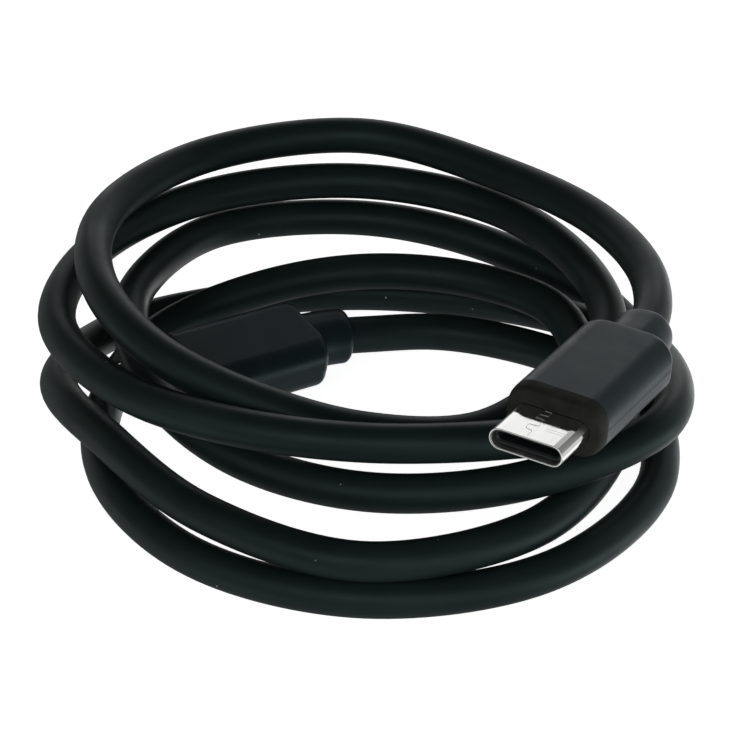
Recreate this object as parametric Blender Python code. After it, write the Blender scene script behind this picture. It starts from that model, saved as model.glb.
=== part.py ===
"""A black USB-C to USB-C cable, about one metre long, wound into a loose coil of five and a half turns.

Metres, +Z up. The floor is z = 0 and the origin is under the middle of the coil.
A plug is built round its own mouth: +X across its width, +Y from the mouth back to the cord, +Z up.
"""

import math

import bmesh
import bpy
import numpy as np
from mathutils import Euler, Matrix, Vector

MM = 0.001

# Plug shell: the standard plug is 8.25 x 2.4 mm
SHELL_WIDTH = 8.25 * MM
SHELL_HEIGHT = 2.4 * MM
SHELL_WALL = 0.3 * MM
SHELL_SHOWN = 6.0 * MM
SHELL_BURIED = 3.5 * MM

# Plastic carrier inside the shell, and the slot that the socket's tongue enters
CARRIER_SETBACK = 0.6 * MM
SLOT_WIDTH = 6.8 * MM
SLOT_HEIGHT = 0.8 * MM
SLOT_DEPTH = 4.6 * MM

# Dark front piece between the shell and the overmold
FRONT_LENGTH = 1.5 * MM
FRONT_NARROWING = 0.9 * MM
FRONT_SPIGOT_LENGTH = 4.5 * MM
FRONT_SPIGOT_WALL = 0.45 * MM

# Overmold and its strain relief
BODY_WIDTH = 10.9 * MM
BODY_HEIGHT = 6.3 * MM
BODY_CORNER = 2.4 * MM
BODY_LENGTH = 17.7 * MM
BODY_REAR_ROUNDING = 1.0 * MM
BODY_REAR_DROP = 0.05 * MM
RELIEF_LENGTH = 5.4 * MM
RELIEF_WIDTH = 6.7 * MM
RELIEF_HEIGHT = 6.0 * MM
RELIEF_NARROWING = 0.2 * MM
RELIEF_ROUNDING = 0.8 * MM

# Cable
CABLE_DIAMETER = 4.2 * MM
CABLE_LEAD = 3.0 * MM
CABLE_POINTS = 80
CABLE_BEVEL_RESOLUTION = 3
CURVE_STEPS = 24

# Gaps between pieces that touch in the real cable
FIT_GAP = 0.05 * MM
CORD_GAP = 0.3 * MM

RING_SEGMENTS = 8
ROUNDING_STEPS = 4

# The front plug lies on top of the coil, and the rear plug lies inside it
FRONT_PLUG_MOUTH = (16.3 * MM, -36.1 * MM, 19.5 * MM)
FRONT_PLUG_TURN = (-4.0, 1.5, -29.5)
FRONT_RELIEF_BEND = -0.6 * MM
REAR_PLUG_MOUTH = (-25.8 * MM, -4.4 * MM, 6.0 * MM)
REAR_PLUG_TURN = (-5.3, 10.0, -55.0)
REAR_RELIEF_BEND = 0.8 * MM

# Route of the cable: each row is one turn, with the distance from the coil's axis
# and the height of the cable's middle, in mm, at every 30 degrees, from the right
# side and counter-clockwise as seen from above. The turns run from the front plug,
# at the top, down to the rear plug, on the floor.
TURNS = (
    ((31.5, 17.0), (31.0, 16.2), (32.2, 15.6), (37.2, 15.6), (37.2, 15.6), (33.7, 16.2),
     (28.5, 16.5), (24.5, 15.5), (22.0, 14.0), (21.5, 12.0), (23.9, 11.4), (24.8, 12.5)),
    ((27.0, 11.5), (28.8, 11.0), (31.9, 11.0), (34.4, 11.0), (35.4, 11.2), (35.0, 11.6),
     (33.5, 12.0), (29.0, 12.5), (26.5, 13.5), (26.0, 13.5), (28.9, 13.2), (27.0, 7.8)),
    ((24.5, 7.2), (24.5, 7.0), (22.5, 6.5), (20.8, 6.5), (21.8, 5.6), (26.5, 3.1),
     (28.4, 2.2), (31.5, 2.2), (35.0, 2.1), (37.5, 2.1), (38.1, 2.1), (35.9, 2.1)),
    ((32.2, 2.2), (33.8, 3.2), (31.5, 6.0), (33.5, 6.5), (34.5, 6.9), (29.5, 8.1),
     (25.2, 9.7), (24.0, 8.9), (24.6, 8.1), (27.0, 8.1), (30.9, 8.9), (36.3, 10.4)),
    ((32.8, 7.75), (27.8, 4.25), (25.0, 2.2), (23.5, 2.1), (25.4, 2.1), (31.3, 2.4),
     (33.7, 4.8), (31.0, 6.6), (33.0, 6.5), (37.0, 6.3), (35.0, 5.6), (30.4, 4.75)),
    ((27.9, 3.8), (21.9, 2.2), (16.5, 2.3)),
)
STATIONS_PER_TURN = 12


def material(name, colour, roughness, metallic=0.0):
    made = bpy.data.materials.new(name)
    made.use_nodes = True
    shader = made.node_tree.nodes["Principled BSDF"]
    shader.inputs["Base Color"].default_value = (*colour, 1.0)
    shader.inputs["Roughness"].default_value = roughness
    shader.inputs["Metallic"].default_value = metallic
    return made


def add_object(name, mesh, finish=None):
    made = bpy.data.objects.new(name, mesh)
    bpy.context.scene.collection.objects.link(made)
    if finish:
        mesh.materials.append(finish)
    return made


def ring(width, height, corner, y):
    """A rounded rectangle across the plug at y, as points running round it from the right."""
    points = []
    for quarter in range(4):
        side_x = 1 if quarter in (0, 3) else -1
        side_z = 1 if quarter in (0, 1) else -1
        middle_x = side_x * (width / 2 - corner)
        middle_z = side_z * (height / 2 - corner)
        for step in range(RING_SEGMENTS + 1):
            angle = math.radians(90 * (quarter + step / RING_SEGMENTS))
            points.append((middle_x + corner * math.cos(angle), y, middle_z + corner * math.sin(angle)))
    return points


def loft(name, rings, finish=None):
    """One closed solid through rings of as many points each, from the mouth backwards."""
    shape = bmesh.new()
    rows = [[shape.verts.new(point) for point in points] for points in rings]
    count = len(rows[0])
    for near, far in zip(rows, rows[1:]):
        for i in range(count):
            j = (i + 1) % count
            shape.faces.new((near[i], near[j], far[j], far[i]))
    shape.faces.new(rows[0][::-1])
    shape.faces.new(rows[-1])
    bmesh.ops.remove_doubles(shape, verts=shape.verts, dist=1e-6)
    bmesh.ops.recalc_face_normals(shape, faces=shape.faces)
    mesh = bpy.data.meshes.new(name)
    shape.to_mesh(mesh)
    shape.free()
    mesh.shade_smooth()
    mesh.set_sharp_from_angle(angle=math.radians(40))
    return add_object(name, mesh, finish)


def cut(body, cutter, root):
    """Takes the cutter out of the body, and leaves it as a hidden guide."""
    cutter.hide_render = True
    cutter.display_type = "WIRE"
    cutter.parent = root
    difference = body.modifiers.new(cutter.name, "BOOLEAN")
    difference.operation = "DIFFERENCE"
    difference.object = cutter


def stadium(width, height, y):
    return ring(width, height, height / 2, y)


def make_shell(prefix, root, finish):
    length = SHELL_SHOWN + SHELL_BURIED
    shell = loft(prefix + "_shell", [stadium(SHELL_WIDTH, SHELL_HEIGHT, y) for y in (0, length)], finish)
    bore_width = SHELL_WIDTH - 2 * SHELL_WALL
    bore_height = SHELL_HEIGHT - 2 * SHELL_WALL
    bore = loft(
        prefix + "_shell_bore",
        [stadium(bore_width, bore_height, y) for y in (-SHELL_WALL, length + SHELL_WALL)],
    )
    cut(shell, bore, root)
    return shell


def make_carrier(prefix, root, finish):
    width = SHELL_WIDTH - 2 * SHELL_WALL - 2 * FIT_GAP
    height = SHELL_HEIGHT - 2 * SHELL_WALL - 2 * FIT_GAP
    length = SHELL_SHOWN + SHELL_BURIED
    carrier = loft(prefix + "_carrier", [stadium(width, height, y) for y in (CARRIER_SETBACK, length)], finish)
    slot = loft(
        prefix + "_carrier_slot",
        [stadium(SLOT_WIDTH, SLOT_HEIGHT, y) for y in (0, CARRIER_SETBACK + SLOT_DEPTH)],
    )
    cut(carrier, slot, root)
    return carrier


def spigot_ring(y, gap=0.0):
    """The outside of the front piece's spigot, a wall outside the shell, or the pocket a gap outside it."""
    wall = FIT_GAP + FRONT_SPIGOT_WALL + gap
    return stadium(SHELL_WIDTH + 2 * wall, SHELL_HEIGHT + 2 * wall, y)


def make_front(prefix, root, finish):
    start = SHELL_SHOWN
    shoulder = start + FRONT_LENGTH
    narrow = FRONT_NARROWING
    front = loft(
        prefix + "_front",
        [
            ring(BODY_WIDTH - 2 * narrow, BODY_HEIGHT - 2 * narrow, BODY_CORNER - narrow / 2, start),
            ring(BODY_WIDTH - narrow, BODY_HEIGHT - narrow, BODY_CORNER, start + FRONT_LENGTH / 4),
            ring(BODY_WIDTH, BODY_HEIGHT, BODY_CORNER, shoulder),
            spigot_ring(shoulder),
            spigot_ring(shoulder + FRONT_SPIGOT_LENGTH),
        ],
        finish,
    )
    pocket_end = SHELL_SHOWN + SHELL_BURIED + FIT_GAP
    pocket = loft(
        prefix + "_front_pocket",
        [
            stadium(SHELL_WIDTH + 2 * FIT_GAP, SHELL_HEIGHT + 2 * FIT_GAP, y)
            for y in (start - FRONT_LENGTH, pocket_end)
        ],
    )
    cut(front, pocket, root)
    return front


def relief_middle(share, bend):
    """The middle of the strain relief at this share of its length, and its turn about +Z."""
    back = SHELL_SHOWN + BODY_LENGTH + share * RELIEF_LENGTH
    return Vector((bend * share**2, back, 0)), -math.atan2(2 * bend * share, RELIEF_LENGTH)


def relief_ring(share, bend, inset=0.0):
    """A ring across the strain relief, which narrows a little and follows its bend."""
    less = RELIEF_NARROWING * share + 2 * inset
    middle, turn = relief_middle(share, bend)
    across = Matrix.Rotation(turn, 3, "Z")
    points = stadium(RELIEF_WIDTH - less, RELIEF_HEIGHT - less, 0)
    return [middle + across @ Vector(point) for point in points]


def rounding_steps():
    """Steps round a quarter circle, as how far each has gone along and how far in, from 0 to 1."""
    angles = [math.radians(90 * step / ROUNDING_STEPS) for step in range(ROUNDING_STEPS + 1)]
    return [(math.sin(angle), 1 - math.cos(angle)) for angle in angles]


def relief_rings(bend):
    """The rings of the strain relief from its base to the rounded edge of its end."""
    straight = 1 - RELIEF_ROUNDING / RELIEF_LENGTH
    rings = [relief_ring(straight * step / ROUNDING_STEPS, bend) for step in range(ROUNDING_STEPS)]
    for along, inward in rounding_steps():
        rings.append(relief_ring(straight + (1 - straight) * along, bend, RELIEF_ROUNDING * inward))
    return rings


def body_rings():
    """The rings of the overmold's body from its front edge to its rounded rear edge."""
    start = SHELL_SHOWN + FRONT_LENGTH + FIT_GAP
    rear = SHELL_SHOWN + BODY_LENGTH
    rings = [ring(BODY_WIDTH, BODY_HEIGHT, BODY_CORNER, start)]
    for along, inward in rounding_steps():
        width = BODY_WIDTH - 2 * BODY_REAR_ROUNDING * inward
        height = BODY_HEIGHT - 2 * BODY_REAR_DROP * inward
        rings.append(ring(width, height, BODY_CORNER, rear - BODY_REAR_ROUNDING * (1 - along)))
    return rings


def make_overmold(prefix, root, finish, bend):
    overmold = loft(prefix + "_overmold", body_rings() + relief_rings(bend), finish)
    pocket_start = SHELL_SHOWN
    pocket_end = SHELL_SHOWN + FRONT_LENGTH + FRONT_SPIGOT_LENGTH + FIT_GAP
    pocket = loft(
        prefix + "_overmold_pocket",
        [spigot_ring(y, FIT_GAP) for y in (pocket_start, pocket_end)],
    )
    cut(overmold, pocket, root)
    return overmold


def make_plug(prefix, mouth, turn, bend, finishes):
    root = bpy.data.objects.new(prefix + "_plug", None)
    bpy.context.scene.collection.objects.link(root)
    root.location = mouth
    root.rotation_euler = [math.radians(angle) for angle in turn]
    pieces = (
        make_shell(prefix, root, finishes["steel"]),
        make_carrier(prefix, root, finishes["carrier"]),
        make_front(prefix, root, finishes["front"]),
        make_overmold(prefix, root, finishes["overmold"], bend),
    )
    for piece in pieces:
        piece.parent = root


def cord_end(mouth, turn, bend, beyond):
    """The point this far behind the end of a plug's strain relief, in line with it."""
    middle, leaving = relief_middle(1, bend)
    place = Euler([math.radians(angle) for angle in turn]).to_matrix()
    out = Matrix.Rotation(leaving, 3, "Z") @ Vector((0, beyond, 0))
    return np.array(Vector(mouth) + place @ (middle + out))


def route_points():
    """The hand-chosen points of the cable's route, from the front plug to the rear one."""
    front = (FRONT_PLUG_MOUTH, FRONT_PLUG_TURN, FRONT_RELIEF_BEND)
    rear = (REAR_PLUG_MOUTH, REAR_PLUG_TURN, REAR_RELIEF_BEND)
    points = [cord_end(*front, beyond) for beyond in (CORD_GAP, CABLE_LEAD)]
    for row in TURNS:
        for station, (radius, height) in enumerate(row):
            angle = 2 * math.pi * station / STATIONS_PER_TURN
            points.append(np.array((radius * math.cos(angle), radius * math.sin(angle), height)) * MM)
    points += [cord_end(*rear, beyond) for beyond in (CABLE_LEAD, CORD_GAP)]
    return np.array(points)


def smooth_curve(points):
    """Points close together on a smooth curve that passes through the given points."""
    lengths = np.linalg.norm(np.diff(points, axis=0), axis=1)
    at = np.concatenate(([0], np.cumsum(lengths)))
    slopes = np.gradient(points, at, axis=0)
    curve = []
    for i, length in enumerate(lengths):
        for t in np.arange(CURVE_STEPS) / CURVE_STEPS:
            curve.append(
                (2 * t**3 - 3 * t**2 + 1) * points[i]
                + (t**3 - 2 * t**2 + t) * length * slopes[i]
                + (3 * t**2 - 2 * t**3) * points[i + 1]
                + (t**3 - t**2) * length * slopes[i + 1]
            )
    return np.array(curve + [points[-1]])


def even_points(curve, count):
    """This many points at even distances along the curve."""
    at = np.concatenate(([0], np.cumsum(np.linalg.norm(np.diff(curve, axis=0), axis=1))))
    wanted = np.linspace(0, at[-1], count)
    return np.stack([np.interp(wanted, at, curve[:, axis]) for axis in range(3)], axis=1)


def cable_points():
    """The ends of the cable, and even points between its two straight leads."""
    curve = smooth_curve(route_points())
    between = even_points(curve[CURVE_STEPS:-CURVE_STEPS], CABLE_POINTS - 2)
    return np.concatenate((curve[:1], between, curve[-1:]))


def make_cable(finish):
    points = cable_points()
    curve = bpy.data.curves.new("cable", "CURVE")
    curve.dimensions = "3D"
    curve.bevel_depth = CABLE_DIAMETER / 2
    curve.bevel_resolution = CABLE_BEVEL_RESOLUTION
    curve.use_fill_caps = True
    spline = curve.splines.new("POLY")
    spline.points.add(len(points) - 1)
    for spot, point in zip(spline.points, points):
        spot.co = (*point, 1)
    return add_object("cable", curve, finish)


def main():
    for old in list(bpy.data.objects):
        bpy.data.objects.remove(old, do_unlink=True)
    finishes = {
        "steel": material("nickel_plated_steel", (0.78, 0.78, 0.76), 0.22, 1.0),
        "carrier": material("black_nylon", (0.02, 0.02, 0.022), 0.45),
        "front": material("brown_black_moulding", (0.05, 0.043, 0.038), 0.5),
        "overmold": material("black_overmold", (0.024, 0.026, 0.029), 0.42),
    }
    make_plug("front_plug", FRONT_PLUG_MOUTH, FRONT_PLUG_TURN, FRONT_RELIEF_BEND, finishes)
    make_plug("rear_plug", REAR_PLUG_MOUTH, REAR_PLUG_TURN, REAR_RELIEF_BEND, finishes)
    make_cable(material("black_pvc_jacket", (0.016, 0.018, 0.019), 0.38))


main()
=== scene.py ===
"""Looks of a black USB-C to USB-C cable in a loose coil, on a pale studio floor.

Metres, +Z up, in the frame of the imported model. A plug is built round its own mouth:
+X across its width, +Y from the mouth back to the cord, +Z up.
"""

import math

import bmesh
import bpy
import numpy as np
from mathutils import Euler, Matrix, Vector


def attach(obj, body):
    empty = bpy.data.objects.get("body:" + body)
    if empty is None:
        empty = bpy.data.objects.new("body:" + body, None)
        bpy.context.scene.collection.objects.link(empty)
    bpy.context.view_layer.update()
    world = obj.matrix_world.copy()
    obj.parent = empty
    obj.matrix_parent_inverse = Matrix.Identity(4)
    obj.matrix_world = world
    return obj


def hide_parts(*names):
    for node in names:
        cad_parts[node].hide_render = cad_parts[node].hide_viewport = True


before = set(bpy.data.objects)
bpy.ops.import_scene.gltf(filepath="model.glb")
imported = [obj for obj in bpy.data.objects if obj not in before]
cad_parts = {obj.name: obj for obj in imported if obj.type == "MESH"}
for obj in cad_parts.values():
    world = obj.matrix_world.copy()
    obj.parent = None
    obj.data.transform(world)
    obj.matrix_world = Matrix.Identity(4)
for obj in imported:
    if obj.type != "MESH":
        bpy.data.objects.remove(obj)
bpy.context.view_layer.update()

MM = 0.001
BODY = "root"

# Camera: the photograph looks down on the coil from the front through a long lens
CAMERA_TARGET = Vector((0.58, -2.6, 8.0)) * MM
CAMERA_ELEVATION = 32.0
CAMERA_DISTANCE = 366.0 * MM
CAMERA_SENSOR = 36.0
PHOTO_SIZE = 735
FOCAL_PIXELS = 3330
CAMERA_CLIP_START = 0.01

# Studio: panels as name, angle from +X and angle up in degrees, width and height in metres, and
# brightness; then the world's brightness from straight down (0) through the horizon (0.5) to
# straight up (1); then the floor, which reaches this far each way from the middle
SOFTBOX_DISTANCE = 0.9
SOFTBOXES = (
    ("back_panel", 88, 12, 0.66, 0.62, 0.95),
    ("back_right_panel", 43, 21, 1.10, 0.74, 0.40),
    ("back_right_table_panel", 34, -15, 0.60, 0.40, 0.34),
    ("table_glow_panel", 48, -42, 0.70, 0.45, 0.80),
    ("back_right_low_panel", 62, -18, 0.35, 0.40, 1.60),
    ("right_panel", 350, -17, 0.80, 0.42, 1.50),
    ("front_right_panel", 305, 7, 0.75, 0.42, 0.95),
    ("front_panel", 267, 30, 0.75, 0.42, 1.05),
    ("front_left_panel", 225, 28, 0.75, 0.50, 0.62),
    ("left_panel", 176, -12, 0.90, 0.45, 0.22),
    ("front_left_table_panel", 213, -28, 0.55, 0.35, 0.55),
    ("back_left_panel", 132, 8, 0.60, 0.45, 0.36),
)
WORLD_LEVELS = ((0.0, 0.26), (0.22, 0.28), (0.49, 0.30), (0.51, 0.05), (1.0, 0.03))
FLOOR_GLOW = 0.93
FLOOR_REACH = 3.0
FLOOR_DROP = 0.1 * MM

# Plug shell: the standard plug is 8.25 x 2.4 mm
SHELL_WIDTH = 8.25 * MM
SHELL_HEIGHT = 2.4 * MM
SHELL_WALL = 0.3 * MM
SHELL_SHOWN = 6.0 * MM
SHELL_BURIED = 3.5 * MM
SHELL_RIM = 0.05 * MM
SHELL_RIM_FLAT = 0.09 * MM
SHELL_CHAMFER = 0.14 * MM

# Joint of the rolled shell: a zigzag of interlocking tabs along the middle of its top, as
# distance from the middle, distance from the mouth and width in mm
JOINT_PATH = (
    (-0.12, 0.25, 0.03), (-0.12, 1.30, 0.03), (-0.20, 1.56, 0.08), (-0.50, 1.62, 0.12),
    (-0.85, 1.70, 0.08), (-1.00, 1.95, 0.03), (-1.04, 2.35, 0.03), (-0.95, 2.62, 0.10),
    (-0.40, 2.64, 0.12), (0.04, 2.74, 0.10), (-0.02, 2.90, 0.02), (-0.02, 4.00, 0.01),
    (-0.08, 4.07, 0.22), (-0.98, 4.14, 0.24), (-1.04, 4.24, 0.01), (-0.98, 4.84, 0.01),
    (-0.90, 4.92, 0.20), (-0.06, 4.97, 0.24), (-0.01, 5.08, 0.01), (-0.02, 5.68, 0.01),
    (-0.08, 5.78, 0.20), (-0.82, 5.80, 0.22),
)
JOINT_PROUD = 0.006 * MM
JOINT_DEPTH = 0.05 * MM
JOINT_STEP = 0.08 * MM

# Outline of a shallow pressing in the shell's top, beside the joint, as distance from the middle
# and distance from the mouth, with the outline's width, in mm
PRESSING = ((0.90, 2.30), (3.10, 2.30), (3.10, 2.75), (0.90, 2.75), (0.90, 2.30))
PRESSING_WIDTH = 0.04

# Plastic carrier inside the shell, and the slot that the socket's tongue enters
CARRIER_SETBACK = 0.6 * MM
SLOT_WIDTH = 6.8 * MM
SLOT_HEIGHT = 0.8 * MM
SLOT_DEPTH = 4.6 * MM
SLOT_LIP_WIDTH = 0.16 * MM
SLOT_LIP_DEPTH = 0.20 * MM
CARRIER_EDGE = 0.06 * MM

# Contacts: two rows of twelve in the slot, half a millimetre apart, each bowed over the first
# part of its length and then flat
CONTACT_COUNT = 12
CONTACT_PITCH = 0.5 * MM
CONTACT_WIDTH = 0.24 * MM
CONTACT_START = 2.3 * MM
CONTACT_LENGTH = 2.6 * MM
CONTACT_RISE = 0.13 * MM
CONTACT_THICKNESS = 0.1 * MM
CONTACT_PROUD = 0.01 * MM
CONTACT_BOW_SHARE = 0.625
CONTACT_STEPS = 8

# Dark front piece between the shell and the overmold
FRONT_LENGTH = 1.5 * MM
FRONT_NARROWING = 0.9 * MM
FRONT_CORNER_LOSS = 0.3 * MM
FRONT_GAP_DEPTH = 1.0 * MM

# Overmold and its strain relief
BODY_WIDTH = 10.9 * MM
BODY_HEIGHT = 6.3 * MM
BODY_CORNER = 2.4 * MM
BODY_LENGTH = 17.7 * MM
BODY_FRONT_EDGE = 0.15 * MM
BODY_REAR_ROUNDING = 1.0 * MM
BODY_REAR_DROP = 0.05 * MM
FLASH_HALF_WIDTH = 0.05 * MM
FLASH_PROUD = 0.03 * MM
RELIEF_LENGTH = 5.4 * MM
RELIEF_WIDTH = 6.7 * MM
RELIEF_HEIGHT = 6.0 * MM
RELIEF_NARROWING = 0.2 * MM
RELIEF_ROUNDING = 0.8 * MM
RELIEF_MOUTH_DEPTH = 0.35 * MM
RELIEF_MOUTH_GAP = 0.04 * MM

# Cable: its route starts a gap behind each strain relief and runs straight as far as the lead,
# and past the route's two ends the cable is tucked into the mouths of the reliefs
CABLE_DIAMETER = 4.2 * MM
CABLE_LEAD = 3.0 * MM
CABLE_RING_SPACING = 1.2 * MM
CABLE_SIDES = 32
CABLE_TUCK = 0.6 * MM
CURVE_STEPS = 24
CORD_GAP = 0.3 * MM

# Clearance between the pieces of a plug
FIT_GAP = 0.05 * MM

# Tint of the sheen on the black plastics, and the share of a dust speck's radius that is solid
COOL_SHEEN = (0.80, 1.0, 1.06, 1.0)
SPECK_CORE = 0.6

# Fineness of the rounded outlines, half the flat kept at a stadium's sides, and how near two
# points lie when they become one, both in metres
RING_SEGMENTS = 16
ROUNDING_STEPS = 6
STADIUM_FLAT = 1e-6
WELD_DISTANCE = 1e-7

# Sockets of a Map Range node that hold the ends of its two ranges
RANGE_ENDS = ("From Min", "From Max", "To Min", "To Max")

# Plugs: the middle of the mouth, the turn about x, y and z in degrees, and how far the end of
# the strain relief is bent sideways
FRONT_PLUG_MOUTH = (16.3 * MM, -36.1 * MM, 19.5 * MM)
FRONT_PLUG_TURN = (-4.0, 1.5, -29.5)
FRONT_RELIEF_BEND = -0.6 * MM
REAR_PLUG_MOUTH = (-25.8 * MM, -4.4 * MM, 6.0 * MM)
REAR_PLUG_TURN = (-5.3, 10.0, -55.0)
REAR_RELIEF_BEND = 0.8 * MM

# Route of the cable: each row is one turn, with the distance from the coil's axis
# and the height of the cable's middle, in mm, at every 30 degrees, from the right
# side and counter-clockwise as seen from above
TURNS = (
    ((31.5, 17.0), (31.0, 16.2), (32.2, 15.6), (37.2, 15.6), (37.2, 15.6), (33.7, 16.2),
     (28.5, 16.5), (24.5, 15.5), (22.0, 14.0), (21.5, 12.0), (23.9, 11.4), (24.8, 12.5)),
    ((27.0, 11.5), (28.8, 11.0), (31.9, 11.0), (34.4, 11.0), (35.4, 11.2), (35.0, 11.6),
     (33.5, 12.0), (29.0, 12.5), (26.5, 13.5), (26.0, 13.5), (28.9, 13.2), (27.0, 7.8)),
    ((24.5, 7.2), (24.5, 7.0), (22.5, 6.5), (20.8, 6.5), (21.8, 5.6), (26.5, 3.1),
     (28.4, 2.2), (31.5, 2.2), (35.0, 2.1), (37.5, 2.1), (38.1, 2.1), (35.9, 2.1)),
    ((32.2, 2.2), (33.8, 3.2), (31.5, 6.0), (33.5, 6.5), (34.5, 6.9), (29.5, 8.1),
     (25.2, 9.7), (24.0, 8.9), (24.6, 8.1), (27.0, 8.1), (30.9, 8.9), (36.3, 10.4)),
    ((32.8, 7.75), (27.8, 4.25), (25.0, 2.2), (23.5, 2.1), (25.4, 2.1), (31.3, 2.4),
     (33.7, 4.8), (31.0, 6.6), (33.0, 6.5), (37.0, 6.3), (35.0, 5.6), (30.4, 4.75)),
    ((27.9, 3.8), (21.9, 2.2), (16.5, 2.3)),
)
STATIONS_PER_TURN = 12


def place_of(mouth, turn):
    """The matrix that takes a plug's own axes into the frame."""
    angles = [math.radians(degrees) for degrees in turn]
    return Matrix.Translation(mouth) @ Euler(angles).to_matrix().to_4x4()


def relief_middle(share, bend):
    """The middle of the strain relief at this share of its length, and its turn about +Z."""
    back = SHELL_SHOWN + BODY_LENGTH + share * RELIEF_LENGTH
    return Vector((bend * share**2, back, 0)), -math.atan2(2 * bend * share, RELIEF_LENGTH)


def cord_end(mouth, turn, bend, beyond):
    """The point this far behind the end of a plug's strain relief, in line with it."""
    middle, leaving = relief_middle(1, bend)
    out = Matrix.Rotation(leaving, 3, "Z") @ Vector((0, beyond, 0))
    return np.array(place_of(mouth, turn) @ (middle + out))


def route_points():
    """The given points of the cable's route, from the front plug to the rear one."""
    front = (FRONT_PLUG_MOUTH, FRONT_PLUG_TURN, FRONT_RELIEF_BEND)
    rear = (REAR_PLUG_MOUTH, REAR_PLUG_TURN, REAR_RELIEF_BEND)
    points = [cord_end(*front, beyond) for beyond in (CORD_GAP, CABLE_LEAD)]
    for row in TURNS:
        for station, (radius, height) in enumerate(row):
            angle = 2 * math.pi * station / STATIONS_PER_TURN
            points.append(np.array((radius * math.cos(angle), radius * math.sin(angle), height)) * MM)
    points += [cord_end(*rear, beyond) for beyond in (CABLE_LEAD, CORD_GAP)]
    return np.array(points)


def smooth_curve(points):
    """Points close together on a smooth curve that passes through the given points.

    Between two points it is the cubic that has their places and their slopes.
    """
    lengths = np.linalg.norm(np.diff(points, axis=0), axis=1)
    at = np.concatenate(([0], np.cumsum(lengths)))
    slopes = np.gradient(points, at, axis=0)
    curve = []
    for i, length in enumerate(lengths):
        for t in np.arange(CURVE_STEPS) / CURVE_STEPS:
            curve.append(
                (2 * t**3 - 3 * t**2 + 1) * points[i]
                + (t**3 - 2 * t**2 + t) * length * slopes[i]
                + (3 * t**2 - 2 * t**3) * points[i + 1]
                + (t**3 - t**2) * length * slopes[i + 1]
            )
    return np.array(curve + [points[-1]])


def even_points(curve, spacing):
    """Points at even distances of about this spacing along the curve."""
    at = np.concatenate(([0], np.cumsum(np.linalg.norm(np.diff(curve, axis=0), axis=1))))
    wanted = np.linspace(0, at[-1], round(at[-1] / spacing) + 1)
    return np.stack([np.interp(wanted, at, curve[:, axis]) for axis in range(3)], axis=1)


def new_object(name, mesh, *finishes):
    """An object in the scene with this mesh and these materials."""
    made = bpy.data.objects.new(name, mesh)
    bpy.context.scene.collection.objects.link(made)
    for finish in finishes:
        mesh.materials.append(finish)
    return made


def mesh_of(name, rows, loop=False, sharp=40):
    """A smooth-shaded mesh through rows of as many points each, sharp past this angle in degrees.

    Its ends are closed, or joined to each other where it is a loop.
    """
    shape = bmesh.new()
    rings = [[shape.verts.new(point) for point in row] for row in rows]
    count = len(rings[0])
    pairs = list(zip(rings, rings[1:]))
    if loop:
        pairs.append((rings[-1], rings[0]))
    for near, far in pairs:
        for i in range(count):
            j = (i + 1) % count
            shape.faces.new((near[i], near[j], far[j], far[i]))
    if not loop:
        shape.faces.new(rings[0][::-1])
        shape.faces.new(rings[-1])
    bmesh.ops.remove_doubles(shape, verts=shape.verts, dist=WELD_DISTANCE)
    bmesh.ops.recalc_face_normals(shape, faces=shape.faces)
    mesh = bpy.data.meshes.new(name)
    shape.to_mesh(mesh)
    shape.free()
    mesh.shade_smooth()
    mesh.set_sharp_from_angle(angle=math.radians(sharp))
    return mesh


def ring(width, height, corner, y):
    """A rounded rectangle across the plug at y, as points running round it from the right."""
    points = []
    for quarter in range(4):
        side_x = 1 if quarter in (0, 3) else -1
        side_z = 1 if quarter in (0, 1) else -1
        middle_x = side_x * (width / 2 - corner)
        middle_z = side_z * (height / 2 - corner)
        for step in range(RING_SEGMENTS + 1):
            angle = math.radians(90 * (quarter + step / RING_SEGMENTS))
            points.append((middle_x + corner * math.cos(angle), y, middle_z + corner * math.sin(angle)))
    return points


def stadium(width, height, y):
    """A ring whose sides are half circles, but for a flat too small to see."""
    return ring(width, height, height / 2 - STADIUM_FLAT, y)


def rounding_steps():
    """Steps round a quarter circle, as how far each has gone along and how far in, from 0 to 1."""
    angles = [math.radians(90 * step / ROUNDING_STEPS) for step in range(ROUNDING_STEPS + 1)]
    return [(math.sin(angle), 1 - math.cos(angle)) for angle in angles]


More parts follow.
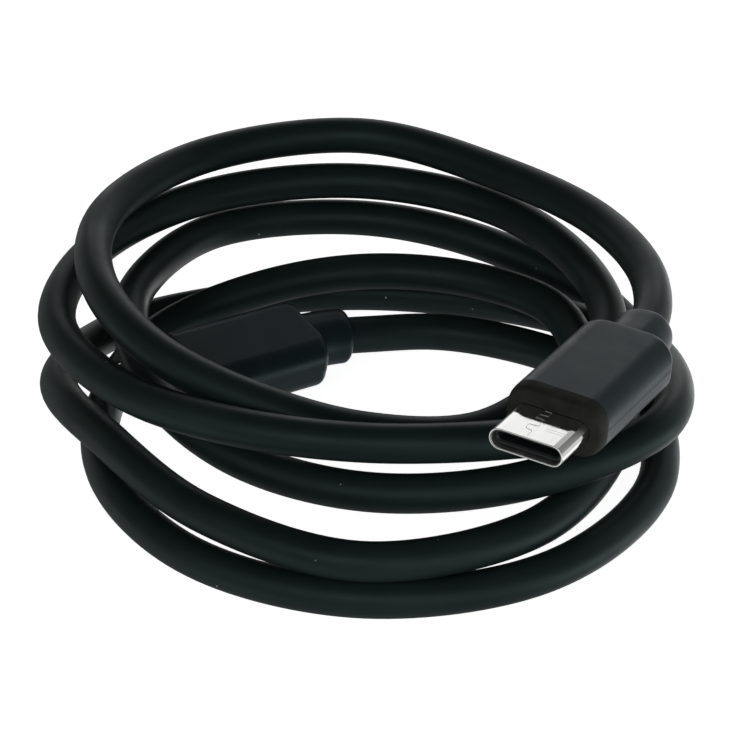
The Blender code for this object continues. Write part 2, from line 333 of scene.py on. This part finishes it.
class Paint:
    """A material's node tree with a few short ways to add nodes.

    A scale is in features a metre, because object coordinates are in metres.
    """

    def __init__(self, name):
        self.material = bpy.data.materials.new(name)
        self.material.use_nodes = True
        self.tree = self.material.node_tree
        self.shader = self.tree.nodes["Principled BSDF"]
        self.place = self.tree.nodes.new("ShaderNodeTexCoord").outputs["Object"]

    def set(self, **values):
        """Sets sockets of the shader, named with an underscore for each space."""
        for name, value in values.items():
            self.shader.inputs[name.replace("_", " ")].default_value = value

    def link(self, output, socket):
        self.tree.links.new(output, self.shader.inputs[socket])

    def noise(self, scale, detail, stretch=None):
        """Soft noise, made this many times finer along each axis where a stretch is given."""
        node = self.tree.nodes.new("ShaderNodeTexNoise")
        node.inputs["Scale"].default_value = scale
        node.inputs["Detail"].default_value = detail
        place = self.place
        if stretch:
            mapping = self.tree.nodes.new("ShaderNodeMapping")
            mapping.inputs["Scale"].default_value = stretch
            self.tree.links.new(place, mapping.inputs["Vector"])
            place = mapping.outputs["Vector"]
        self.tree.links.new(place, node.inputs["Vector"])
        return node.outputs["Fac"]

    def range(self, value, low, high, to_low=0.0, to_high=1.0):
        """The value with the range from low to high spread from to_low to to_high."""
        node = self.tree.nodes.new("ShaderNodeMapRange")
        self.tree.links.new(value, node.inputs["Value"])
        for name, number in zip(RANGE_ENDS, (low, high, to_low, to_high)):
            node.inputs[name].default_value = number
        return node.outputs["Result"]

    def math(self, operation, first, second):
        node = self.tree.nodes.new("ShaderNodeMath")
        node.operation = operation
        for socket, value in zip(node.inputs, (first, second)):
            if isinstance(value, (int, float)):
                socket.default_value = value
            else:
                self.tree.links.new(value, socket)
        return node.outputs["Value"]

    def mix(self, amount, first, second):
        """The first colour where the amount is 0, the second where it is 1."""
        node = self.tree.nodes.new("ShaderNodeMix")
        node.data_type = "RGBA"
        self.tree.links.new(amount, node.inputs["Factor"])
        colours = [socket for socket in node.inputs if socket.type == "RGBA"]
        for socket, value in zip(colours, (first, second)):
            if isinstance(value, tuple):
                socket.default_value = (*value, 1.0)
            else:
                self.tree.links.new(value, socket)
        return next(socket for socket in node.outputs if socket.type == "RGBA")

    def specks(self, scale, size, share):
        """One speck in each of this share of the cells, as 1 in a speck and 0 elsewhere."""
        node = self.tree.nodes.new("ShaderNodeTexVoronoi")
        node.inputs["Scale"].default_value = scale
        self.tree.links.new(self.place, node.inputs["Vector"])
        parts = self.tree.nodes.new("ShaderNodeSeparateColor")
        self.tree.links.new(node.outputs["Color"], parts.inputs["Color"])
        near = self.range(node.outputs["Distance"], low=size, high=size * SPECK_CORE)
        chosen = self.math("LESS_THAN", parts.outputs["Red"], share)
        return self.math("MULTIPLY", near, chosen)

    def bump(self, height, strength, distance):
        node = self.tree.nodes.new("ShaderNodeBump")
        node.inputs["Strength"].default_value = strength
        node.inputs["Distance"].default_value = distance
        self.tree.links.new(height, node.inputs["Height"])
        self.link(node.outputs["Normal"], "Normal")


def jacket_material():
    """Satin black soft PVC with a faint mottle, a fine skin texture and a little dust."""
    paint = Paint("jacket")
    paint.set(Specular_IOR_Level=0.26, Specular_Tint=COOL_SHEEN)
    mottle = paint.range(paint.noise(scale=90, detail=3), low=0.35, high=0.7)
    colour = paint.mix(mottle, (0.011, 0.0205, 0.0185), (0.0165, 0.0295, 0.0265))
    dust = paint.specks(scale=400, size=0.06, share=0.14)
    paint.link(paint.mix(dust, colour, (0.40, 0.42, 0.40)), "Base Color")
    wear = paint.noise(scale=160, detail=3)
    paint.link(paint.range(wear, low=0.3, high=0.7, to_low=0.40, to_high=0.52), "Roughness")
    paint.bump(paint.noise(scale=2600, detail=2), strength=0.12, distance=0.02 * MM)
    return paint.material


def overmold_material():
    """Satin blue-black moulding with a fine spark-eroded grain and light scuffs."""
    paint = Paint("overmold")
    paint.set(Specular_IOR_Level=0.24, Specular_Tint=COOL_SHEEN)
    mottle = paint.range(paint.noise(scale=220, detail=4), low=0.35, high=0.7)
    colour = paint.mix(mottle, (0.012, 0.023, 0.028), (0.018, 0.033, 0.039))
    scratches = paint.noise(scale=420, detail=2, stretch=(1.0, 3.0, 1.0))
    scuffs = paint.range(scratches, low=0.72, high=0.80, to_high=0.6)
    colour = paint.mix(scuffs, colour, (0.050, 0.062, 0.066))
    dust = paint.specks(scale=400, size=0.045, share=0.25)
    paint.link(paint.mix(dust, colour, (0.4, 0.41, 0.4)), "Base Color")
    wear = paint.noise(scale=420, detail=4)
    paint.link(paint.range(wear, low=0.3, high=0.7, to_low=0.33, to_high=0.43), "Roughness")
    paint.bump(paint.noise(scale=5200, detail=3), strength=0.22, distance=0.02 * MM)
    return paint.material


def front_material():
    """Brownish black moulding, a little rougher than the grip."""
    paint = Paint("front_moulding")
    paint.set(Specular_IOR_Level=0.12)
    mottle = paint.range(paint.noise(scale=500, detail=3), low=0.35, high=0.7)
    paint.link(paint.mix(mottle, (0.028, 0.030, 0.025), (0.042, 0.045, 0.038)), "Base Color")
    wear = paint.noise(scale=900, detail=3)
    paint.link(paint.range(wear, low=0.3, high=0.7, to_low=0.58, to_high=0.70), "Roughness")
    paint.bump(paint.noise(scale=6000, detail=2), strength=0.15, distance=0.02 * MM)
    return paint.material


def steel_material():
    """Bright nickel plate with a slight drawn grain along the shell."""
    paint = Paint("nickel_plated_steel")
    paint.set(Metallic=1.0)
    grain = paint.noise(scale=700, detail=3, stretch=(4.0, 0.3, 4.0))
    paint.link(paint.mix(grain, (0.88, 0.88, 0.87), (0.95, 0.95, 0.94)), "Base Color")
    paint.link(paint.range(grain, low=0.3, high=0.7, to_low=0.06, to_high=0.12), "Roughness")
    return paint.material


def shaded_bore_material():
    """The inside of the shell: the same plate, left duller, and its colour darkened as painted shade in
    the bore.
    """
    paint = Paint("steel_bore_painted_shade")
    paint.set(Metallic=1.0)
    grain = paint.noise(scale=900, detail=3, stretch=(1.0, 0.3, 1.0))
    # Painted shade: the plate's colour is darker here than on the outside of the shell
    paint.link(paint.mix(grain, (0.50, 0.50, 0.49), (0.62, 0.62, 0.60)), "Base Color")
    paint.link(paint.range(grain, low=0.3, high=0.7, to_low=0.35, to_high=0.5), "Roughness")
    return paint.material


def carrier_material():
    """Black nylon with a faint mottle."""
    paint = Paint("black_nylon")
    mottle = paint.noise(scale=800, detail=2)
    paint.link(paint.mix(mottle, (0.013, 0.016, 0.018), (0.020, 0.024, 0.026)), "Base Color")
    paint.link(paint.range(mottle, low=0.3, high=0.7, to_low=0.30, to_high=0.42), "Roughness")
    return paint.material


def gold_material():
    """The thin gold plating of the contacts."""
    paint = Paint("contact_gold")
    paint.set(Metallic=1.0)
    wear = paint.noise(scale=1500, detail=3)
    paint.link(paint.mix(wear, (0.85, 0.58, 0.24), (0.95, 0.72, 0.38)), "Base Color")
    paint.link(paint.range(wear, low=0.3, high=0.7, to_low=0.2, to_high=0.35), "Roughness")
    return paint.material


def joint_material():
    """The cut edges of the sheet along the shell's joint: a grey that doesn't mirror the studio."""
    paint = Paint("shell_joint")
    grain = paint.noise(scale=2500, detail=2)
    paint.link(paint.mix(grain, (0.60, 0.59, 0.56), (0.76, 0.75, 0.71)), "Base Color")
    paint.link(paint.range(grain, low=0.3, high=0.7, to_low=0.35, to_high=0.5), "Roughness")
    return paint.material


def shell_mesh(name):
    """The rolled tube, with a rounded rim at its mouth and a chamfer into its bore.

    The faces inside it take the second of its two materials, the plate darkened as painted shade.
    """
    length = SHELL_SHOWN + SHELL_BURIED
    bore_width = SHELL_WIDTH - 2 * SHELL_WALL
    bore_height = SHELL_HEIGHT - 2 * SHELL_WALL
    rows = [stadium(SHELL_WIDTH, SHELL_HEIGHT, length)]
    for along, inward in rounding_steps():
        inset = 2 * SHELL_RIM * inward
        rows.append(stadium(SHELL_WIDTH - inset, SHELL_HEIGHT - inset, SHELL_RIM * (1 - along)))
    inset = 2 * (SHELL_RIM + SHELL_RIM_FLAT)
    rows.append(stadium(SHELL_WIDTH - inset, SHELL_HEIGHT - inset, 0))
    rows.append(stadium(bore_width, bore_height, SHELL_CHAMFER))
    rows.append(stadium(bore_width, bore_height, length))
    mesh = mesh_of(name, rows, loop=True, sharp=60)
    for face in mesh.polygons:
        inside = abs(face.center.z) < SHELL_HEIGHT / 2 - SHELL_WALL / 2
        inside = inside and abs(face.center.x) < SHELL_WIDTH / 2 - SHELL_WALL / 2
        if inside and face.center.y > SHELL_RIM:
            face.material_index = 1
    return mesh


def carrier_mesh(name):
    """The insert in the shell, with a softened lip round the slot and the slot's back wall."""
    width = SHELL_WIDTH - 2 * SHELL_WALL - 2 * FIT_GAP
    height = SHELL_HEIGHT - 2 * SHELL_WALL - 2 * FIT_GAP
    back = SHELL_SHOWN + SHELL_BURIED
    face = CARRIER_SETBACK
    edge = CARRIER_EDGE
    lip = 2 * SLOT_LIP_WIDTH
    rows = [
        stadium(width, height, back),
        stadium(width, height, face + edge),
        stadium(width - 2 * edge, height - 2 * edge, face),
        stadium(SLOT_WIDTH + lip, SLOT_HEIGHT + lip, face),
        stadium(SLOT_WIDTH, SLOT_HEIGHT, face + SLOT_LIP_DEPTH),
        stadium(SLOT_WIDTH, SLOT_HEIGHT, face + SLOT_DEPTH),
    ]
    return mesh_of(name, rows, sharp=30)


def strip(shape, x, width, profile):
    """Adds a bent strip of this width at x, from its lower and upper outline, as (y, low, high)."""
    sides = []
    for side in (x - width / 2, x + width / 2):
        lower = [shape.verts.new((side, y, low)) for y, low, high in profile]
        upper = [shape.verts.new((side, y, high)) for y, low, high in profile]
        sides.append((lower, upper))
    (left_low, left_up), (right_low, right_up) = sides
    for i in range(len(profile) - 1):
        shape.faces.new((left_low[i], right_low[i], right_low[i + 1], left_low[i + 1]))
        shape.faces.new((left_up[i], left_up[i + 1], right_up[i + 1], right_up[i]))
        shape.faces.new((left_low[i], left_low[i + 1], left_up[i + 1], left_up[i]))
        shape.faces.new((right_low[i], right_up[i], right_up[i + 1], right_low[i + 1]))
    for i in (0, -1):
        shape.faces.new((left_low[i], left_up[i], right_up[i], right_low[i]))


def contacts_mesh(name):
    """Two rows of sprung contacts, each bowed towards the slot's middle."""
    shape = bmesh.new()
    flat = SLOT_HEIGHT / 2 - CONTACT_PROUD
    for row in (1, -1):
        profile = []
        for step in range(CONTACT_STEPS + 1):
            along = step / CONTACT_STEPS
            bow = CONTACT_RISE * math.sin(math.pi * min(1.0, along / CONTACT_BOW_SHARE))
            inner = row * (flat - bow)
            outer = row * (flat - bow + CONTACT_THICKNESS)
            y = CONTACT_START + along * CONTACT_LENGTH
            profile.append((y, min(inner, outer), max(inner, outer)))
        for i in range(CONTACT_COUNT):
            x = (i - (CONTACT_COUNT - 1) / 2) * CONTACT_PITCH
            strip(shape, x, CONTACT_WIDTH, profile)
    bmesh.ops.recalc_face_normals(shape, faces=shape.faces)
    mesh = bpy.data.meshes.new(name)
    shape.to_mesh(mesh)
    shape.free()
    return mesh


def ribbon_mesh(name, path):
    """A fine bead along a path of (x, y, width), in mm, on the shell's top."""
    up = Vector((0, 0, 1))
    top = SHELL_HEIGHT / 2 * up
    points = [(Vector((x, y, 0)) * MM + top, width * MM) for x, y, width in path]
    steps = []
    for (near, near_width), (far, far_width) in zip(points, points[1:]):
        count = max(1, round((far - near).length / JOINT_STEP))
        for i in range(count):
            width = near_width + (far_width - near_width) * i / count
            steps.append((near.lerp(far, i / count), width))
    steps.append(points[-1])
    rows = []
    for i, (point, width) in enumerate(steps):
        ahead = (steps[min(i + 1, len(steps) - 1)][0] - steps[max(i - 1, 0)][0]).normalized()
        side = width / 2 * Vector((ahead.y, -ahead.x, 0))
        rows.append((
            point - side - JOINT_DEPTH * up,
            point + side - JOINT_DEPTH * up,
            point + side + JOINT_PROUD / 2 * up,
            point + JOINT_PROUD * up,
            point - side + JOINT_PROUD / 2 * up,
        ))
    return mesh_of(name, rows)


def front_mesh(name):
    """The dark front piece: a rounded shoulder and a flat face round the shell."""
    start = SHELL_SHOWN
    rows = [ring(BODY_WIDTH, BODY_HEIGHT, BODY_CORNER, start + FRONT_LENGTH + FIT_GAP)]
    for along, inward in rounding_steps():
        less = FRONT_NARROWING * inward
        corner = BODY_CORNER - FRONT_CORNER_LOSS * inward
        y = start + FRONT_LENGTH * (1 - along)
        rows.append(ring(BODY_WIDTH - less, BODY_HEIGHT - less, corner, y))
    gap = 2 * FIT_GAP
    rows.append(stadium(SHELL_WIDTH + gap, SHELL_HEIGHT + gap, start))
    rows.append(stadium(SHELL_WIDTH + gap, SHELL_HEIGHT + gap, start + FRONT_GAP_DEPTH))
    return mesh_of(name, rows, sharp=35)


def relief_ring(share, bend, inset=0.0):
    """A ring across the strain relief, which narrows a little and follows its bend."""
    less = RELIEF_NARROWING * share + 2 * inset
    middle, turn = relief_middle(share, bend)
    across = Matrix.Rotation(turn, 3, "Z")
    points = stadium(RELIEF_WIDTH - less, RELIEF_HEIGHT - less, 0)
    return [middle + across @ Vector(point) for point in points]


def relief_rings(bend):
    """The rings of the strain relief, from its base over its rounded end and into its mouth."""
    straight = 1 - RELIEF_ROUNDING / RELIEF_LENGTH
    rings = [relief_ring(straight * step / ROUNDING_STEPS, bend) for step in range(ROUNDING_STEPS)]
    for along, inward in rounding_steps():
        rings.append(relief_ring(straight + (1 - straight) * along, bend, RELIEF_ROUNDING * inward))
    opening = CABLE_DIAMETER + RELIEF_MOUTH_GAP
    for back in (0.0, RELIEF_MOUTH_DEPTH):
        middle, turn = relief_middle(1 - back / RELIEF_LENGTH, bend)
        across = Matrix.Rotation(turn, 3, "Z")
        rings.append([middle + across @ Vector(point) for point in stadium(opening, opening, 0)])
    return rings


def body_rings():
    """The rings of the overmold's body from its front edge to its rounded rear edge."""
    start = SHELL_SHOWN + FRONT_LENGTH + FIT_GAP
    rear = SHELL_SHOWN + BODY_LENGTH
    edge = BODY_FRONT_EDGE
    rings = [
        ring(BODY_WIDTH - edge, BODY_HEIGHT - edge, BODY_CORNER, start),
        ring(BODY_WIDTH, BODY_HEIGHT, BODY_CORNER, start + edge),
    ]
    for along, inward in rounding_steps():
        width = BODY_WIDTH - 2 * BODY_REAR_ROUNDING * inward
        height = BODY_HEIGHT - 2 * BODY_REAR_DROP * inward
        rings.append(ring(width, height, BODY_CORNER, rear - BODY_REAR_ROUNDING * (1 - along)))
    return rings


def with_flash(row):
    """A ring with a fine ridge at each side, where the two halves of the mould met."""
    row = [Vector(point) for point in row]
    half = len(row) // 2
    finished = []
    for part, following, outward in ((row[:half], row[half], -1), (row[half:], row[0], 1)):
        middle = (part[-1] + following) / 2
        flat = (following - part[-1]) / 2
        proud = FLASH_PROUD if flat.length > FLASH_HALF_WIDTH else 0.0
        foot = flat.normalized() * min(FLASH_HALF_WIDTH, flat.length / 2)
        finished += part + [middle - foot, middle + Vector((outward * proud, 0, 0)), middle + foot]
    return finished


def make_plug(prefix, mouth, turn, bend, finishes):
    """A plug's four pieces, each standing for its node in the frame, and three added details."""
    place = place_of(mouth, turn)
    grip_rows = [with_flash(row) for row in body_rings() + relief_rings(bend)]
    grip = mesh_of(prefix + "_overmold", grip_rows)
    pressing = [(x, y, PRESSING_WIDTH) for x, y in PRESSING]
    pieces = (
        ("shell", shell_mesh(prefix + "_shell"), ("steel", "bore"), "shell_steel"),
        ("carrier", carrier_mesh(prefix + "_carrier"), ("carrier",), "carrier_plastic"),
        ("front", front_mesh(prefix + "_front"), ("front",), "front_moulding"),
        ("overmold", grip, ("overmold",), "overmold"),
    )
    made = []
    for kind, mesh, finish_names, slot in pieces:
        piece = new_object(f"{prefix}_{kind}_finished", mesh, *(finishes[name] for name in finish_names))
        piece.matrix_world = place
        piece.modifiers.new("flat_faces", "WEIGHTED_NORMAL").keep_sharp = True
        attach(piece, BODY)
        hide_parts(f"{prefix}_{kind}")
        made.append(piece)
    details = (
        ("contacts", contacts_mesh(prefix + "_contacts"), "gold"),
        ("joint", ribbon_mesh(prefix + "_joint", JOINT_PATH), "joint"),
        ("pressing", ribbon_mesh(prefix + "_pressing", pressing), "steel"),
    )
    for kind, mesh, finish in details:
        detail = new_object(f"{prefix}_{kind}", mesh, finishes[finish])
        detail.matrix_world = place
        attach(detail, BODY)
        made.append(detail)
    return made


def make_cable(finish):
    """The jacketed cable, as rings that turn with its route, with its ends tucked into the reliefs."""
    path = even_points(smooth_curve(route_points()), CABLE_RING_SPACING)
    along = np.gradient(path, axis=0)
    along /= np.linalg.norm(along, axis=1)[:, None]
    first_end = path[0] - CABLE_TUCK * along[0]
    last_end = path[-1] + CABLE_TUCK * along[-1]
    path = np.concatenate(([first_end], path, [last_end]))
    along = np.concatenate((along[:1], along, along[-1:]))
    side = np.cross(along[0], (0, 0, 1))
    angles = np.linspace(0, 2 * math.pi, CABLE_SIDES, endpoint=False)
    rows = []
    for point, ahead in zip(path, along):
        side = side - ahead * (side @ ahead)
        side /= np.linalg.norm(side)
        up = np.cross(side, ahead)
        rows.append([
            point + CABLE_DIAMETER / 2 * (math.cos(angle) * side + math.sin(angle) * up)
            for angle in angles
        ])
    cable = new_object("cable_jacket", mesh_of("cable_jacket", rows), finish)
    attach(cable, BODY)
    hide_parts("cable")
    return cable, path


def make_floor():
    """A glowing floor for the camera alone: the panels light the coil through it."""
    shape = bmesh.new()
    bmesh.ops.create_grid(shape, x_segments=1, y_segments=1, size=FLOOR_REACH)
    mesh = bpy.data.meshes.new("studio_floor")
    shape.to_mesh(mesh)
    shape.free()
    paint = Paint("studio_floor")
    paint.set(Base_Color=(0.93, 0.93, 0.93, 1.0), Roughness=0.9)
    paint.set(Emission_Color=(1.0, 1.0, 1.0, 1.0), Emission_Strength=FLOOR_GLOW)
    floor = new_object("studio_floor", mesh, paint.material)
    floor.location.z = -FLOOR_DROP
    floor.visible_glossy = False
    floor.visible_diffuse = False
    floor.visible_shadow = False


def make_camera():
    """The photograph's camera, which looks towards +Y and down."""
    data = bpy.data.cameras.new("camera")
    camera = bpy.data.objects.new("camera", data)
    bpy.context.scene.collection.objects.link(camera)
    down = math.radians(CAMERA_ELEVATION)
    back = Vector((0, -math.cos(down), math.sin(down)))
    camera.location = CAMERA_TARGET + CAMERA_DISTANCE * back
    camera.rotation_euler = (math.pi / 2 - down, 0, 0)
    data.sensor_width = CAMERA_SENSOR
    data.lens = FOCAL_PIXELS * CAMERA_SENSOR / PHOTO_SIZE
    data.clip_start = CAMERA_CLIP_START
    bpy.context.scene.camera = camera


def softbox(name, compass, climb, width, height, brightness):
    """A plain soft panel that faces the coil, at this angle from +X and this angle up.

    Its power is the one that makes a panel of its size look this bright.
    """
    around, up = math.radians(compass), math.radians(climb)
    way = Vector((math.cos(around) * math.cos(up), math.sin(around) * math.cos(up), math.sin(up)))
    data = bpy.data.lights.new(name, "AREA")
    data.shape = "RECTANGLE"
    data.size = width
    data.size_y = height
    data.energy = brightness * math.pi * width * height
    light = bpy.data.objects.new(name, data)
    bpy.context.scene.collection.objects.link(light)
    light.visible_camera = False
    light.location = SOFTBOX_DISTANCE * way
    light.rotation_euler = way.to_track_quat("Z", "Y").to_euler()


def make_world():
    """Dim air above the floor, and the pale light that a table throws up round the coil."""
    world = bpy.data.worlds.new("studio")
    world.use_nodes = True
    tree = world.node_tree
    background = tree.nodes["Background"]
    way = tree.nodes.new("ShaderNodeTexCoord").outputs["Generated"]
    parts = tree.nodes.new("ShaderNodeSeparateXYZ")
    tree.links.new(way, parts.inputs["Vector"])
    height = tree.nodes.new("ShaderNodeMapRange")
    tree.links.new(parts.outputs["Z"], height.inputs["Value"])
    for name, number in zip(RANGE_ENDS, (-1.0, 1.0, 0.0, 1.0)):
        height.inputs[name].default_value = number
    ramp = tree.nodes.new("ShaderNodeValToRGB")
    tree.links.new(height.outputs["Result"], ramp.inputs["Fac"])
    positions, levels = zip(*WORLD_LEVELS)
    # A new ramp already has a stop at 0 and one at 1
    for position in positions[1:-1]:
        ramp.color_ramp.elements.new(position)
    for element, level in zip(ramp.color_ramp.elements, levels):
        element.color = (level, level, level, 1.0)
    tree.links.new(ramp.outputs["Color"], background.inputs["Color"])
    bpy.context.scene.world = world


def main():
    bpy.context.scene.view_settings.view_transform = "Standard"
    make_camera()
    make_world()
    make_floor()
    for panel in SOFTBOXES:
        softbox(*panel)
    finishes = {
        "steel": steel_material(),
        "carrier": carrier_material(),
        "front": front_material(),
        "overmold": overmold_material(),
        "gold": gold_material(),
        "joint": joint_material(),
        "bore": shaded_bore_material(),
    }
    cable, path = make_cable(jacket_material())
    front = make_plug("front_plug", FRONT_PLUG_MOUTH, FRONT_PLUG_TURN, FRONT_RELIEF_BEND, finishes)
    rear = make_plug("rear_plug", REAR_PLUG_MOUTH, REAR_PLUG_TURN, REAR_RELIEF_BEND, finishes)


main()
